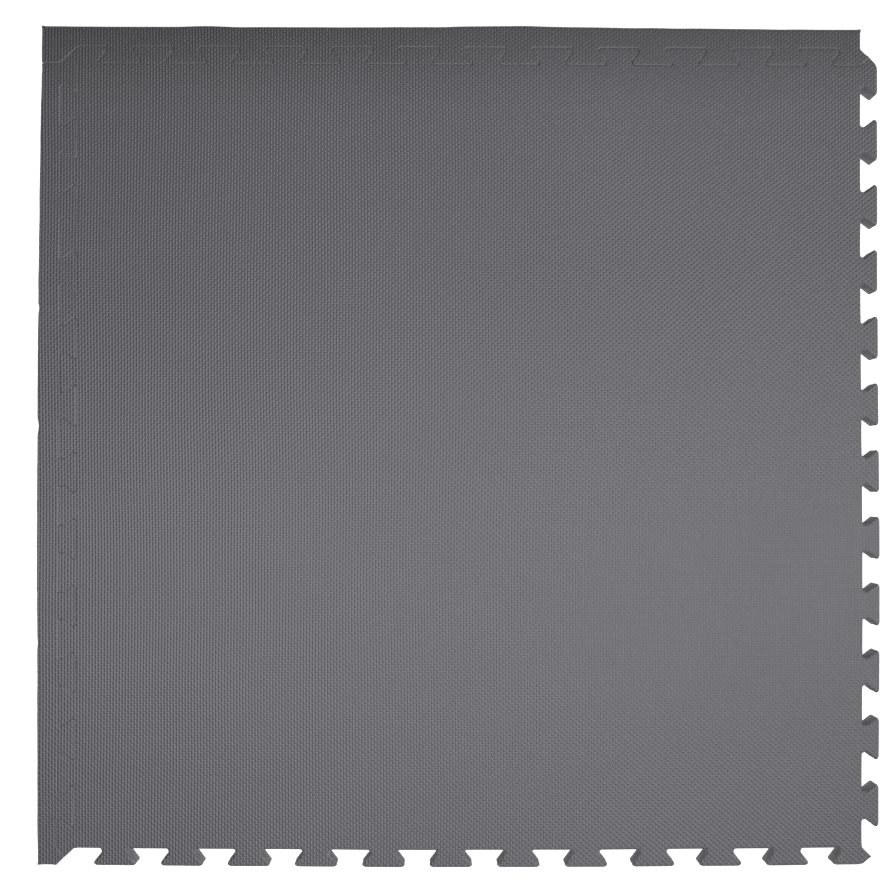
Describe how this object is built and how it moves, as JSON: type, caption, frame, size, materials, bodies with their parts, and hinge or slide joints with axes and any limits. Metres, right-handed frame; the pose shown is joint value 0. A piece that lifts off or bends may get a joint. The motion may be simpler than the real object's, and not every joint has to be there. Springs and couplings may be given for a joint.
{
  "type": "interlocking foam blocking mat",
  "caption": "Square foam blocking mat with dovetail teeth along its free sides and plain border strips clipped along the others.",
  "frame": {"origin": "middle of the mat's square body on its underside; the border strips and the teeth lie outside the body", "axes": "+Z out of the embossed work face, +X towards the free side with teeth, +Y towards the border strip that turns the corner"},
  "size_m": [1.0449, 1.0449, 0.02],
  "materials": {
    "mat_foam": "matt closed-cell foam with a fine woven emboss on its upper face",
    "left_strip_foam": "matt closed-cell foam with a fine woven emboss on its upper face",
    "top_strip_foam": "matt closed-cell foam with a fine woven emboss on its upper face"
  },
  "bodies": {
    "mat": {"mat_tile": "mat_foam"},
    "left_border": {"left_border_strip": "left_strip_foam"},
    "top_border": {"top_border_strip": "top_strip_foam"}
  },
  "joints": [
    {"name": "left_border_lift", "type": "slide", "parent": "mat", "child": "left_border", "axis": [0, 0, 1], "range_m": [0, 0.06]},
    {"name": "top_border_lift", "type": "slide", "parent": "mat", "child": "top_border", "axis": [0, 0, 1], "range_m": [0, 0.06]}
  ]
}
